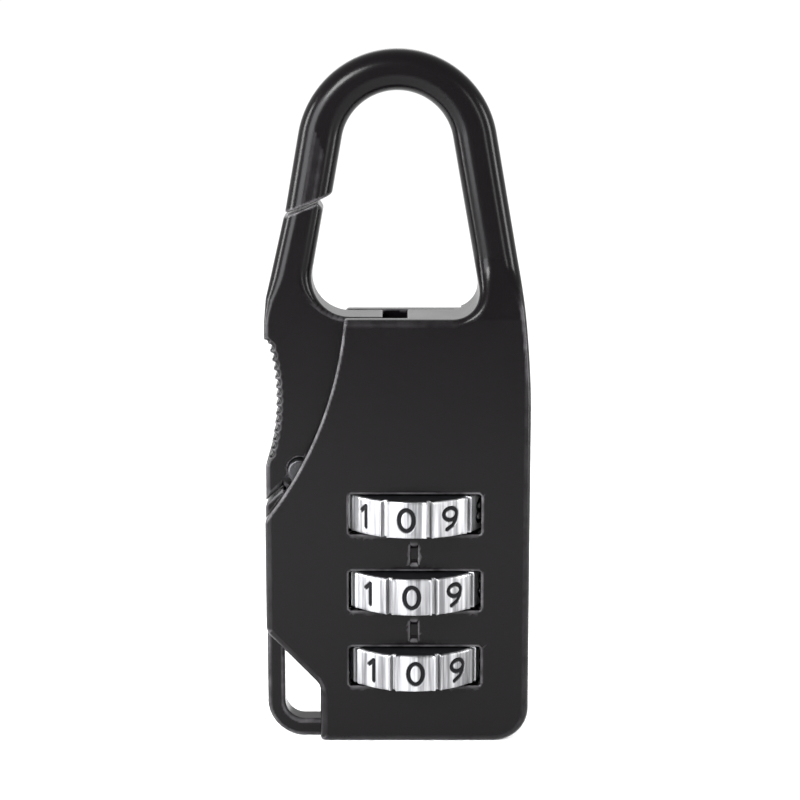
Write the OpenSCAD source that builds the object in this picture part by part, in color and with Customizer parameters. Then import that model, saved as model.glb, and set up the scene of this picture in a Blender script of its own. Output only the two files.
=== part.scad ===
// Combination padlock for luggage, with a fixed snap hook, a sprung gate lever and three number dials.
// Millimetres. +Z up, front face towards -Y, origin on the base under the middle of the case.

/* [Case] */
// Width of the case
case_w = 25.2; // [25:0.1:25.6]
// Thickness of the case, front face to back face
case_t = 9; // [8.8:0.1:9.6]
// Height of the case, up to the floor of the hook opening
case_h = 41.2; // [41:0.1:41.6]
// Thickness of the front wall and of the back cover
wall = 1.75; // [1.6:0.05:1.8]
// Radius of the case's lower right corner
corner_r = 3.3; // [2:0.1:3.6]

/* [Hook] */
// Height of the centre of the hook's outer bend
bend_z = 56.7; // [56:0.1:60]
// Outer radius of the bend
bend_r = 9.4; // [9:0.1:9.8]
// Inner radius of the bend
bend_inner_r = 5.3; // [5:0.1:5.6]
// Thickness of the hook, front to back
hook_t = 5; // [4:0.1:5.2]
// Lean of the hook's legs away from upright, in degrees
leg_lean = 10; // [9.5:0.1:10.5]

/* [Gate lever] */
// Thickness of the lever
lever_t = 5.2; // [4.6:0.1:5.2]
// Angle that the lever turns to open
open_angle = 12; // [11:0.5:12]
// Radius of the pivot pin
pin_r = 1.1; // [0.8:0.05:1.2]
// Number of serrations in the thumb rest
serrations = 13; // [5:2:13]

/* [Dials] */
// Number of figures on a dial
figures = 10; // [8:2:10]
// Radius of a dial over its figures
dial_r = 7.05; // [6.8:0.05:7.1]
// Height of a dial
dial_h = 3.5; // [3.2:0.05:3.6]
// Spacing of the dials
dial_pitch = 7.5; // [7.5:0.05:7.6]
// Height of the bottom dial's middle
dial_low_z = 7.6; // [7.5:0.05:7.7]
// Offset of the dials' axis to the right of the case's middle
dial_x = 1.6; // [1.4:0.05:1.7]

/* [Lanyard eye] */
// Thickness of the eye's bar
eye_bar = 1.7; // [1.3:0.05:1.9]
// Depth of the eye, front to back
eye_t = 2.7; // [2:0.1:4]

/* [Hidden] */

$fn = 96;
eps = 0.01;
far = 40;
// Gap left between parts that rest on each other
touch_gap = 0.02;

half_w = case_w / 2;
half_t = case_t / 2;
inner_y = half_t - wall;

// Colours
case_black = [0.13, 0.12, 0.125];
silver = [0.8, 0.8, 0.8];
steel = [0.55, 0.56, 0.58];
brass = [0.75, 0.6, 0.3];

// Hook: the legs run straight down from the bend, tangent to it
inner_bend_z = bend_z + 0.3;
bend_tangent_z = bend_z + bend_r * sin(leg_lean);
inner_tangent_z = inner_bend_z + bend_inner_r * sin(leg_lean);
function leg_x(z) = bend_r * cos(leg_lean) + (bend_tangent_z - z) * tan(leg_lean);
function inner_leg_x(z) = bend_inner_r * cos(leg_lean) + (inner_tangent_z - z) * tan(leg_lean);
shoulder_z = bend_tangent_z - (half_w - bend_r * cos(leg_lean)) / tan(leg_lean);
opening_corner_r = 3;
opening_corner_x = inner_leg_x(case_h + opening_corner_r) - opening_corner_r / cos(leg_lean);
leg_root_x = 3;
blend_top_z = case_h + 5.6;

// Break between the hook's nose and the gate lever: a slanted cut
break_angle = 22;
break_x = -10.6;
break_z = 50.85;
break_gap = 0.2;
function break_line(x) = break_z + (x - break_x) * tan(break_angle);

// Gate lever
pivot = [-9.3, 26.6];
boss_r = 2.3;
boss_gap = 0.25;
pin_gap = 0.02;
pin_half_l = inner_y + 0.85;
pin_hole_half_l = inner_y + 0.9;
lever_bore_gap = 0.06;
arm_tip_x = -10.65;
arm_inner_top = [-6.98, 51.35];
arm_corner_r = 3.6;
arm_corner = [-4.51, case_h + arm_corner_r];
arm_corner_lean = 10.7;
tip_bevel_x = -7.45;
lever_end_x = -1.4;
lever_end_z = 39;
lever_back_x = -2.3;
sweep_r = norm([lever_end_x - pivot[0], case_h - pivot[1]]) + 0.2;
slot_x = 0.9;
thumb_r = 20;
thumb_centre = [-31.5, 33.4];
thumb_z = [26.9, 39];
serration_pitch = 0.86;
serration_r = 0.28;
finger_t = 3.2;
finger_end_x = dial_x + 1;
finger_z = [33.63, 36.4];
finger_root_x = -4;

// The space for the lever ends just past the place that its finger reaches when it is open
finger_reach = norm([finger_end_x - pivot[0], finger_z[1] - pivot[1]]);
finger_lean = atan2(finger_z[1] - pivot[1], finger_end_x - pivot[0]);
space_x = pivot[0] + finger_reach * cos(finger_lean - open_angle) + 0.62;

// Curved edge of the front wall and of the back cover, beside the lever
edge_r = 36.15;
edge_centre = [-41, 44.3];

// Dials: the middle of each, from the top one down
dial_z = [dial_low_z + 2 * dial_pitch, dial_low_z + dial_pitch, dial_low_z];
pocket_h = dial_h + 0.4;
pocket_half_w = dial_r + 0.25;
pocket_front_y = -half_t + 1.1;
window_half_w = 6.3;
back_window_half_w = 6.7;
window_x = dial_x + 0.05;
bore_gap = 0.08;

// Index marks between the windows: their sides, their ends from the middle of a web, and their depth
mark_x = [dial_x - 0.4, dial_x + 0.35];
mark_ends = [-1.1, 1];
mark_depth = 0.25;
function web_z(i) = (dial_z[i] + dial_z[i + 1]) / 2;
flat_r = dial_r - 0.05;
groove_w = 0.5;
groove_depth = 0.4;

// Sleeves inside the dials, and the fit between the two
sleeve_r = 2.6;
sleeve_bore_r = 2.1;
sleeve_half = dial_pitch / 2 - touch_gap;
top_sleeve_rise = 3.2;
spline_r = 3.05;
spline_w = 0.5;
spline_z = [0.4, 1.4];
spline_gap = 0.1;
lip_half = 0.35;
lip_bore_r = 1.25;
lip_slot_w = 1.1;
channel_r = 2.7;
saddle_half_w = 2.5;
saddle_front_y = 1.2;
reset_travel = 1.2;

// Locking spindle
shaft_r = 1.1;
shaft_bottom_z = 3;
tooth_r = 2;
tooth_w = 0.9;
tooth_z = [0.6, 1.4];
head_z = [32.3, 33];
head_w = 3.5;
head_t = 5;
dome_r = 1.5;
dome_top_z = 33.6;
partition_z = [27, 28];
guide_half_w = head_w / 2 + 0.15;

// Foot of the case, where the sleeve spring stands round the spindle's lower bearing
spring_floor_z = 1.3;
bearing_top_z = 3.4;
bearing_r = 1.65;
bearing_bore_r = 1.18;
bearing_bottom_z = 0.6;

// Lanyard eye, in the notch at the lower left
notch_x = -7.45;
notch_z = 5.55;
notch_slope = 1.047;
notch_top_z = notch_z + (half_w + notch_x) * notch_slope;
eye_corner_r = 3.6;

// Screws that hold the back cover
screw_places = [[8.8, 36.8], [-9.4, 17.4], [-4.4, 2.9], [9.9, 3.2]];
screw_r = 0.75;
screw_head_r = 1.45;
screw_pilot_r = 0.72;
screw_tip_y = -1.4;
screw_head_y = half_t - 0.15;
screw_head_h = 0.7;
screw_gap = 0.1;
recess_half = [0.95, 0.16];
recess_depth = 0.45;

// Reset slider: a fork on the top sleeve, with a tab in the back cover
fork_z = [dial_z[0] + top_sleeve_rise + 0.03, dial_z[0] + top_sleeve_rise + 0.85];
tab_z = [27.5, 28.6];
tab_half_w = 1.2;
stem_y = [2, inner_y - 0.08];
stem_half_w = 1.6;
stem_gap = 0.15;
fork_half_w = 2.4;

// Detent springs, one for each dial, in slots in the right wall
detent_slot_x = [dial_x + pocket_half_w - 0.05, 11.2];
detent_slot_half_h = 2.8;
detent_w = 3;
leaf_half_h = 2.6;
leaf_t = 0.25;
detent_finger_t = 0.36;

// Springs: coil radius, wire radius, turns
spindle_coil = [1.52, 0.16, 4];
sleeve_coil = [2.28, 0.15, 2.5];

// Washers that the springs press on
washer_t = 0.25;
spindle_washer_r = 1.8;
sleeve_washer_r = 2.5;
sleeve_washer_bore_r = bearing_r + 0.1;

function arc(centre, r, from, to, steps) =
    [for (i = [0:steps]) let (a = from + (to - from) * i / steps)
        [centre[0] + r * cos(a), centre[1] + r * sin(a)]];

// Extrudes a front-view outline, drawn in X and Z, from y_lo to y_hi
module plate(y_lo, y_hi) {
    translate([0, y_hi, 0]) rotate([90, 0, 0]) linear_extrude(y_hi - y_lo) children();
}

module box(x, y, z) {
    translate([x[0], y[0], z[0]]) cube([x[1] - x[0], y[1] - y[0], z[1] - z[0]]);
}

module case_outline() {
    polygon(concat(
        [[notch_x, 0]],
        arc([half_w - corner_r, corner_r], corner_r, -90, 0, 12),
        [[half_w, shoulder_z], [leg_x(case_h), case_h], [-half_w, case_h]],
        [[-half_w, notch_top_z], [notch_x, notch_z]]
    ));
}

// Everything to the left of the curved edge
module thumb_side() {
    translate(edge_centre) circle(r = edge_r, $fn = 180);
}

module hook_outline() {
    difference() {
        union() {
            translate([0, bend_z]) circle(r = bend_r);
            polygon([
                [leg_x(bend_tangent_z), bend_tangent_z], [half_w, shoulder_z], [leg_root_x, shoulder_z],
                [leg_root_x, case_h], [-leg_x(case_h), case_h], [-leg_x(bend_tangent_z), bend_tangent_z]
            ]);
        }
        hook_opening();
    }
}

module hook_opening() {
    translate([0, inner_bend_z]) circle(r = bend_inner_r);
    polygon(concat(
        [[-inner_leg_x(case_h), case_h], [-inner_leg_x(inner_tangent_z), inner_tangent_z]],
        [[inner_leg_x(inner_tangent_z), inner_tangent_z]],
        arc([opening_corner_x, case_h + opening_corner_r], opening_corner_r, leg_lean, -90, 10)
    ));
}

// Space that the lever rests in and swings through
module lever_space() {
    polygon(concat(
        [[-14, break_line(-14)], [slot_x, break_line(slot_x)]],
        arc(pivot, sweep_r, acos((slot_x - pivot[0]) / sweep_r), acos((space_x - pivot[0]) / sweep_r), 8),
        [[space_x, 30.2], [-3, 30.2], [-6.6, 25.6], [-9.3, 24.05], [-10.9, 24.72], [-14, 21.85]]
    ));
    translate(pivot) circle(r = boss_r + boss_gap);
}

module dial_windows(half_w, y_lo, y_hi) {
    for (z = dial_z)
        box([window_x - half_w, window_x + half_w], [y_lo, y_hi], [z - pocket_h / 2, z + pocket_h / 2]);
}

// The leg widens to the full thickness of the case at its foot
module leg_blend() {
    intersection() {
        plate(-half_t, half_t) hook_outline();
        translate([leg_root_x, 0, 0]) rotate([90, 0, 90]) linear_extrude(far) polygon([
            [-half_t, shoulder_z], [-half_t, case_h], [-hook_t / 2, blend_top_z],
            [hook_t / 2, blend_top_z], [half_t, case_h + 0.05], [inner_y, case_h + 0.05],
            [inner_y, shoulder_z]
        ]);
    }
}

module lanyard_eye() {
    inner = half_w - eye_bar;
    plate(-inner_y, -inner_y + eye_t) difference() {
        polygon(concat(
            [[notch_x + 0.1, notch_z], [-half_w, notch_top_z + 0.1]],
            arc([-half_w + eye_corner_r, eye_corner_r], eye_corner_r, 180, 270, 10),
            [[notch_x + 0.1, 0]]
        ));
        polygon(concat(
            [[notch_x, notch_z + 1], [-inner, notch_top_z]],
            arc([-half_w + eye_corner_r, eye_corner_r], eye_corner_r - eye_bar, 180, 270, 8),
            [[notch_x, eye_bar]]
        ));
    }
}

module main_body() {
    color(case_black) {
        difference() {
            union() {
                plate(-half_t, inner_y) case_outline();
                plate(-hook_t / 2, hook_t / 2) hook_outline();
                leg_blend();
                lanyard_eye();
            }
            plate(-half_t - 1, -inner_y + eps) thumb_side();
            plate(-inner_y, half_t) lever_space();
            dial_windows(window_half_w, -half_t - 1, pocket_front_y + eps);
            for (z = dial_z)
                box([dial_x - pocket_half_w, dial_x + pocket_half_w], [pocket_front_y, half_t],
                    [z - pocket_h / 2, z + pocket_h / 2]);
            sleeve_channel();
            spindle_guide();
            for (z = dial_z)
                box(detent_slot_x, [-detent_w / 2 - 0.1, half_t],
                    [z - detent_slot_half_h, z + detent_slot_half_h]);
            index_marks();
            translate([pivot[0], 0, pivot[1]]) rotate([90, 0, 0])
                cylinder(r = pin_r + pin_gap, h = 2 * pin_hole_half_l, center = true);
            for (p = screw_places)
                translate([p[0], screw_tip_y - 0.4, p[1]]) rotate([-90, 0, 0])
                    cylinder(r = screw_pilot_r, h = far);
        }
        lower_bearing();
    }
}

// Channel for the three sleeves, open at the back
module sleeve_channel() {
    top = partition_z[0] - spring_floor_z;
    translate([dial_x, 0, spring_floor_z]) cylinder(r = channel_r, h = top);
    box([dial_x - channel_r, dial_x + channel_r], [0, half_t], [spring_floor_z, partition_z[0]]);
    translate([dial_x, 0, bearing_bottom_z]) cylinder(r = bearing_bore_r, h = 2);
}

// Passage of the shaft through the partition, with the guide for the spindle's head above it
module spindle_guide() {
    low = partition_z[0] - eps;
    translate([dial_x, 0, low]) cylinder(r = lip_bore_r, h = 2);
    box([dial_x - lip_bore_r, dial_x + lip_bore_r], [0, half_t], [low, partition_z[1] + eps]);
    box([dial_x - stem_half_w - stem_gap, dial_x + stem_half_w + stem_gap], [stem_y[0] - 0.1, half_t],
        [low, partition_z[1] + eps]);
    box([dial_x - guide_half_w, dial_x + guide_half_w], [-inner_y, half_t], [partition_z[1], 31]);
}

module index_marks() {
    for (i = [0:1])
        box(mark_x, [-half_t - 1, -half_t + mark_depth], [web_z(i) + mark_ends[0], web_z(i) + mark_ends[1]]);
}

// Bearing for the spindle's lower end; the sleeve spring stands round it
module lower_bearing() {
    translate([dial_x, 0, spring_floor_z - 0.5]) difference() {
        cylinder(r = bearing_r, h = bearing_top_z - spring_floor_z + 0.5);
        translate([0, 0, -eps]) cylinder(r = bearing_bore_r, h = far);
    }
}

module back_cover() {
    color(case_black) difference() {
        union() {
            plate(inner_y, half_t) difference() {
                case_outline();
                thumb_side();
            }
            for (i = [0:1]) sleeve_saddle(web_z(i));
        }
        dial_windows(back_window_half_w, inner_y - eps, half_t + 1);
        box([dial_x - tab_half_w - 0.1, dial_x + tab_half_w + 0.1], [inner_y - 1, half_t + 1],
            [tab_z[0] - reset_travel - 0.1, tab_z[1] + 0.1]);
        translate([pivot[0], pin_hole_half_l, pivot[1]]) rotate([90, 0, 0])
            cylinder(r = pin_r + pin_gap, h = 2);
        for (p = screw_places) translate([p[0], 0, p[1]]) rotate([-90, 0, 0]) {
            cylinder(r = screw_r + screw_gap, h = far);
            translate([0, 0, screw_head_y - screw_head_h - 0.05])
                cylinder(r1 = screw_r + screw_gap, r2 = screw_head_r + screw_gap, h = screw_head_h + 0.05);
            translate([0, 0, screw_head_y - eps]) cylinder(r = screw_head_r + screw_gap, h = 1);
        }
    }
}

// Block that closes the sleeve channel behind a web, with a hollow for the sleeve
module sleeve_saddle(mid) {
    half_h = (dial_pitch - pocket_h) / 2 - 0.2;
    difference() {
        box([dial_x - saddle_half_w, dial_x + saddle_half_w], [saddle_front_y, inner_y + eps],
            [mid - half_h, mid + half_h]);
        translate([dial_x, 0, mid - half_h - 1]) cylinder(r = channel_r, h = 2 * half_h + 2);
    }
}

module cover_screws() {
    color(steel) for (p = screw_places) translate([p[0], 0, p[1]]) rotate([-90, 0, 0]) difference() {
        union() {
            translate([0, 0, screw_tip_y]) cylinder(r = screw_r, h = screw_head_y - screw_tip_y - 0.1);
            translate([0, 0, screw_head_y - screw_head_h])
                cylinder(r1 = screw_r, r2 = screw_head_r, h = screw_head_h);
        }
        for (turn = [0, 90]) rotate(turn)
            box([-recess_half[0], recess_half[0]], [-recess_half[1], recess_half[1]],
                [screw_head_y - recess_depth, screw_head_y + 1]);
    }
}

module lever_outline() {
    difference() {
        union() {
            polygon(concat(
                [[arm_tip_x, break_line(arm_tip_x) - break_gap / cos(break_angle)]],
                [[tip_bevel_x, break_line(tip_bevel_x) - break_gap / cos(break_angle)]],
                [arm_inner_top],
                arc(arm_corner, arm_corner_r, 180 - arm_corner_lean, 270, 12),
                [[lever_end_x, case_h], [lever_end_x, lever_end_z]],
                [[lever_back_x, finger_z[1]], [lever_back_x, finger_z[0]]],
                [[-4.2, finger_z[0]], [pivot[0] + boss_r, pivot[1]], pivot],
                [[-10.93, 24.97], [-12.58, 23.45], [-12.57, 27], [-half_w, 39], [-half_w, 40.6]],
                [[-12.42, 42.9]]
            ));
            translate(pivot) circle(r = boss_r);
        }
        thumb_rest();
        translate(pivot) circle(r = pin_r + lever_bore_gap);
    }
}

// Serrated hollow for the thumb, on the lever's left edge
module thumb_rest() {
    intersection() {
        translate(thumb_centre) circle(r = thumb_r, $fn = 180);
        translate([-far, thumb_z[0]]) square([far, thumb_z[1] - thumb_z[0]]);
    }
    step = serration_pitch / thumb_r * 180 / PI;
    for (i = [0:serrations - 1])
        translate(thumb_centre) rotate((i - (serrations - 1) / 2) * step - 0.5)
            translate([thumb_r, 0]) circle(r = serration_r, $fn = 24);
}

module gate_lever() {
    color(case_black) {
        plate(-lever_t / 2, lever_t / 2) lever_outline();
        box([finger_root_x, finger_end_x], [-finger_t / 2, finger_t / 2], finger_z);
    }
}

module lever_pivot_pin() {
    color(steel) translate([pivot[0], 0, pivot[1]]) rotate([90, 0, 0])
        cylinder(r = pin_r, h = 2 * pin_half_l, center = true);
}

module locking_spindle() {
    color(brass) translate([dial_x, 0, 0]) {
        translate([0, 0, shaft_bottom_z]) cylinder(r = shaft_r, h = head_z[1] - shaft_bottom_z);
        box([-head_w / 2, head_w / 2], [-head_t / 2, head_t / 2], head_z);
        intersection() {
            translate([0, 0, dome_top_z - dome_r]) sphere(r = dome_r);
            box([-2, 2], [-2, 2], [head_z[1] - eps, dome_top_z + 1]);
        }
        for (z = dial_z)
            box([-tooth_w / 2, tooth_w / 2], [-tooth_r, 0], [z + tooth_z[0], z + tooth_z[1]]);
    }
}

module dial(z) {
    step = 360 / figures;
    color(silver) translate([dial_x, 0, z]) difference() {
        intersection() {
            translate([0, 0, -dial_h / 2]) cylinder(r = dial_r, h = dial_h);
            translate([0, 0, -dial_h]) cylinder(r = flat_r / cos(step / 2), h = 2 * dial_h, $fn = figures);
        }
        for (i = [0:figures - 1]) rotate(i * step) {
            translate([dial_r - groove_depth, -groove_w / 2, -dial_h]) cube([1, groove_w, 2 * dial_h]);
            box([0, spline_r + spline_gap], [-spline_w / 2 - spline_gap, spline_w / 2 + spline_gap],
                [spline_z[0] - 0.1, spline_z[1] + 0.05]);
        }
        translate([0, 0, -dial_h]) cylinder(r = sleeve_r + bore_gap, h = 2 * dial_h);
        translate([0, 0, -dial_h]) cylinder(r = spline_r + 0.25, h = dial_h + spline_z[0] - 0.05);
    }
}

module dial_top() { dial(dial_z[0]); }
module dial_middle() { dial(dial_z[1]); }
module dial_bottom() { dial(dial_z[2]); }

// Sleeve that turns with its dial; its inner lip lets a spindle tooth through at one place only
module sleeve(z, rise) {
    color(brass) translate([dial_x, 0, z]) {
        difference() {
            translate([0, 0, -sleeve_half]) cylinder(r = sleeve_r, h = sleeve_half + rise);
            translate([0, 0, lip_half]) cylinder(r = sleeve_bore_r, h = far);
            translate([0, 0, -lip_half - far]) cylinder(r = sleeve_bore_r, h = far);
            translate([0, 0, -far / 2]) cylinder(r = lip_bore_r, h = far);
            box([-lip_slot_w / 2, lip_slot_w / 2], [-sleeve_bore_r, 0], [-1, 1]);
        }
        for (i = [0:figures - 1]) rotate(i * 360 / figures)
            box([sleeve_r - 0.2, spline_r], [-spline_w / 2, spline_w / 2], spline_z);
    }
}

module sleeve_top() { sleeve(dial_z[0], top_sleeve_rise); }
module sleeve_middle() { sleeve(dial_z[1], sleeve_half); }
module sleeve_bottom() { sleeve(dial_z[2], sleeve_half); }

// Helical spring about Z with closed ends: coil = [coil radius, wire radius, turns]
module coil_spring(coil, z_lo, z_hi) {
    rings_per_turn = 16;
    sides = 6;
    rings = round(coil[2] * rings_per_turn);
    rise = z_hi - z_lo - 2 * coil[1] / cos(180 / sides);
    points = [for (k = [0:rings]) for (s = [0:sides - 1])
        let (a = k * 360 / rings_per_turn, b = (s + 0.5) * 360 / sides, r = coil[0] + coil[1] * cos(b))
        [r * cos(a), r * sin(a), rise * k / rings + coil[1] * sin(b)]];
    walls = [for (k = [0:rings - 1]) for (s = [0:sides - 1]) let (t = (s + 1) % sides)
        [k * sides + s, k * sides + t, (k + 1) * sides + t, (k + 1) * sides + s]];
    first = [for (s = [sides - 1:-1:0]) s];
    last = [for (s = [0:sides - 1]) rings * sides + s];
    translate([dial_x, 0, z_lo + coil[1] / cos(180 / sides)])
        polyhedron(points = points, faces = concat(walls, [first, last]), convexity = 8);
}

module spindle_spring() {
    color(steel) coil_spring(spindle_coil, partition_z[1] + washer_t + touch_gap, head_z[0] - touch_gap);
}

module sleeve_spring() {
    top = dial_z[2] - sleeve_half - washer_t - touch_gap;
    color(steel) coil_spring(sleeve_coil, spring_floor_z + touch_gap, top - touch_gap);
}

module washer(r, bore_r, z) {
    color(steel) translate([dial_x, 0, z]) difference() {
        cylinder(r = r, h = washer_t);
        translate([0, 0, -eps]) cylinder(r = bore_r, h = 1);
    }
}

// Seat of the spindle's spring: it bridges the slot in the partition
module spindle_washer() {
    washer(spindle_washer_r, shaft_r + 0.1, partition_z[1] + 0.01);
}

// Lets the sleeves turn on their spring without winding it
module sleeve_washer() {
    washer(sleeve_washer_r, sleeve_washer_bore_r, dial_z[2] - sleeve_half - washer_t - 0.01);
}

module reset_slider() {
    color(steel) translate([dial_x, 0, 0]) {
        difference() {
            union() {
                translate([0, 0, fork_z[0]]) cylinder(r = sleeve_r - 0.05, h = fork_z[1] - fork_z[0]);
                box([-fork_half_w, fork_half_w], [0, stem_y[1]], fork_z);
            }
            translate([0, 0, fork_z[0] - 1]) cylinder(r = lip_bore_r, h = 3);
            box([-lip_bore_r, lip_bore_r], [-4, 0], [fork_z[0] - 1, fork_z[1] + 1]);
        }
        box([-stem_half_w, stem_half_w], stem_y, [fork_z[0], tab_z[1]]);
        box([-tab_half_w, tab_half_w], [stem_y[0], half_t - 0.3], tab_z);
    }
}

// Leaf against the right wall, with a bent finger that drops into a groove of its dial
module detent_spring(z) {
    back_x = detent_slot_x[1] - 0.1;
    tip_x = dial_x + dial_r - groove_depth + 0.1;
    bend_x = dial_x + dial_r + 0.9;
    color(steel) {
        box([back_x - leaf_t, back_x], [-detent_w / 2, detent_w / 2], [z - leaf_half_h, z + leaf_half_h]);
        plate(-detent_finger_t / 2, detent_finger_t / 2) polygon([
            [back_x - leaf_t / 2, z + 2], [bend_x, z + 0.6], [tip_x, z + 0.2], [tip_x, z - 0.2],
            [bend_x, z - 0.35], [back_x - leaf_t / 2, z + 1.5]
        ]);
    }
}

module detent_spring_top() { detent_spring(dial_z[0]); }
module detent_spring_middle() { detent_spring(dial_z[1]); }
module detent_spring_bottom() { detent_spring(dial_z[2]); }

main_body();
back_cover();
cover_screws();
gate_lever();
lever_pivot_pin();
locking_spindle();
spindle_washer();
spindle_spring();
dial_top();
dial_middle();
dial_bottom();
sleeve_top();
sleeve_middle();
sleeve_bottom();
sleeve_washer();
sleeve_spring();
reset_slider();
detent_spring_top();
detent_spring_middle();
detent_spring_bottom();
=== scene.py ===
"""Luggage combination padlock: the detailed visual model on the CAD frame.

Shapes are written in millimetres, as signed distances that are negative inside, and meshed by surface().
"""

import math

import bpy
import numpy as np
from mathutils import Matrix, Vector


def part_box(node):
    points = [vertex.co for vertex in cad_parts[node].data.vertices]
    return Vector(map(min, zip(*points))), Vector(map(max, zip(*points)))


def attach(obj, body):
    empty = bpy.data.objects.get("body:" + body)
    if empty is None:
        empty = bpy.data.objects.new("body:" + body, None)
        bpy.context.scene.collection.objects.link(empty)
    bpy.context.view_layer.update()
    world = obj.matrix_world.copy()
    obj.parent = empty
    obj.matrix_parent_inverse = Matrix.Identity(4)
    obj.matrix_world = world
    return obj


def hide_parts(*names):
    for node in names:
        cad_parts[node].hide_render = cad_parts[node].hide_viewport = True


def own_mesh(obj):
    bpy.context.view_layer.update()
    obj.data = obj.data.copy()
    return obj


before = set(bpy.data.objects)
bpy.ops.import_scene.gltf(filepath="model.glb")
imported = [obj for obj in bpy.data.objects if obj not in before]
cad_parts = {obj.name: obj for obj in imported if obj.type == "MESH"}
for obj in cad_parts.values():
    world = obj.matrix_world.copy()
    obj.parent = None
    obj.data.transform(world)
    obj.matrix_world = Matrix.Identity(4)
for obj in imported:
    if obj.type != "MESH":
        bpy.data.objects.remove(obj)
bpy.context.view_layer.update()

MM = 0.001
FAR = 9
NEWTON_STEPS = 3
PROBE = 0.004
EDGE_BEND_PROBE = 0.12


def extent(node):
    """Lowest and highest corner of a CAD node, in millimetres."""
    lo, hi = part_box(node)
    return np.array(lo) / MM, np.array(hi) / MM


# ---------------------------------------------------------------- sizes, from the frame
case_lo, case_hi = extent("main_body")
cover_hi = extent("back_cover")[1]
lever_lo, lever_hi = extent("gate_lever")
pin_lo, pin_hi = extent("lever_pivot_pin")
screw_hi = extent("cover_screws")[1]
slider_lo, slider_hi = extent("reset_slider")
dial_boxes = {name: extent(f"dial_{name}") for name in ("top", "middle", "bottom")}

HALF_W = case_hi[0]
HALF_T = -case_lo[1]
CASE_H = cover_hi[2]
WALL_T = 1.75
COVER_Y = HALF_T - WALL_T
COVER_GAP = 0.02
LEVER_HALF_T = lever_hi[1]
PIVOT = ((pin_lo[0] + pin_hi[0]) / 2, (pin_lo[2] + pin_hi[2]) / 2)
PIN_R = (pin_hi[0] - pin_lo[0]) / 2
PIN_GAP = 0.02
PIN_HOLE_Y = 3.65
DIAL_X = (dial_boxes["top"][0][0] + dial_boxes["top"][1][0]) / 2
DIAL_Z = [(lo[2] + hi[2]) / 2 for lo, hi in dial_boxes.values()]
DIAL_H = dial_boxes["top"][1][2] - dial_boxes["top"][0][2]
DIAL_R = 7.05

# Hook and case outline
LEAN = math.radians(10)
BEND_R = 9.4
BEND_Z = case_hi[2] - BEND_R
INNER_R = 5.3
INNER_Z = BEND_Z + 0.3
OPENING_CORNER_R = 3.0
HOOK_HALF_T = 2.5
BLEND_H = 5.6
CORNER_R = 3.3
SHOULDER_R = 1.2
CASE_ROUND = 0.7
HOOK_ROUND = 1.7
NOTCH = (-7.45, 5.55)
NOTCH_SLOPE = 1.047
NOTCH_SLANT = math.hypot(1, NOTCH_SLOPE)
EYE_BAR = 1.7
EYE_CORNER_R = 3.6
EYE_T = 2.7
EYE_ROOT = 0.6

# Curved edge of the front wall, and the lever in the space behind it
EDGE_CENTRE = (-41.0, 44.3)
EDGE_R = 36.15
BREAK = (-10.6, 50.85)
BREAK_SLOPE = math.tan(math.radians(22))
BREAK_SLANT = math.hypot(1, BREAK_SLOPE)
BREAK_GAP = 0.2
BOSS_R = 2.3
BOSS_GAP = 0.25
LEVER_BORE_GAP = 0.06
LEVER_END = (-1.4, 39)
LEVER_BACK_X = -2.3
LEVER_OUTSIDE = [
    (-10.93, 24.97), (-12.58, 23.45), (-12.57, 27), (-12.6, 39), (-12.6, 40.6), (-12.42, 42.9),
]
ARM_CORNER_R = 3.6
LEVER_ROUND = 0.45
ARM_EXTRA_ROUND = 0.95
ARM_TIP = (-7.45, 51.91)
ARM_TIP_NORMAL = (0.766, 0.643)
FINGER_HALF_T = 1.6
FINGER_Z = (33.63, 36.4)
THUMB_CENTRE = (-31.5, 33.4)
THUMB_R = 20
THUMB_Z = (26.9, 39)
SERRATIONS = 13
SERRATION_PITCH = 0.86
SERRATION_R = 0.28
SLOT_X = 0.9
SPACE_X = DIAL_X + 3.4
SPACE_FOOT = [(-3, 30.2), (-6.6, 25.6), (-9.3, 24.05), (-10.9, 24.72), (-14, 21.85)]
SWEEP_R = math.hypot(LEVER_END[0] - PIVOT[0], CASE_H - PIVOT[1]) + 0.2

# Dial windows, their pockets, and the index marks between them
WINDOW_X = DIAL_X + 0.05
WINDOW_HALF = (6.3, 1.95)
BACK_WINDOW_HALF_W = 6.7
POCKET_HALF_W = DIAL_R + 0.25
POCKET_Y = -HALF_T + 1.1
DETENT_SLOT_X = 11.2
DETENT_SLOT_HALF = (1.6, 2.8)
MARK_X = DIAL_X - 0.02
MARK_HALF = (0.36, 1.3)
MARK_DROP = 0.15
FIGURES = 10

# Sleeves, spindle and bearing on the dials' axis
CHANNEL_R = 2.7
SLEEVE_R = 2.6
SLEEVE_BORE_R = 2.1
SLEEVE_HALF = 3.73
TOP_SLEEVE_RISE = 3.2
SPLINE_X = (2.3, 3.05)
SPLINE_Z = (0.4, 1.4)
SPLINE_HALF_W = 0.25
LIP_HALF = 0.35
LIP_BORE_R = 1.25
LIP_SLOT_HALF_W = 0.55
SHAFT_R = 1.1
SHAFT_FOOT_Z = 3
HEAD_HALF = (1.75, 2.5)
HEAD_Z = (32.3, 33)
DOME_R = 1.5
DOME_Z = 32.1
TOOTH_HALF_W = 0.45
TOOTH_R = 2
TOOTH_Z = (0.6, 1.4)
SPRING_FLOOR_Z = 1.3
BEARING_R = 1.65
BEARING_BORE_R = 1.18
BEARING_Z = (1, 3.4)
BEARING_BORE_Z = (0.6, 3)
PARTITION_Z = (27, 28)
HEAD_WAY_Z = (28, 31)
SADDLE_HALF = (2.5, 1.6)
SADDLE_FRONT_Y = 1.2

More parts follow.
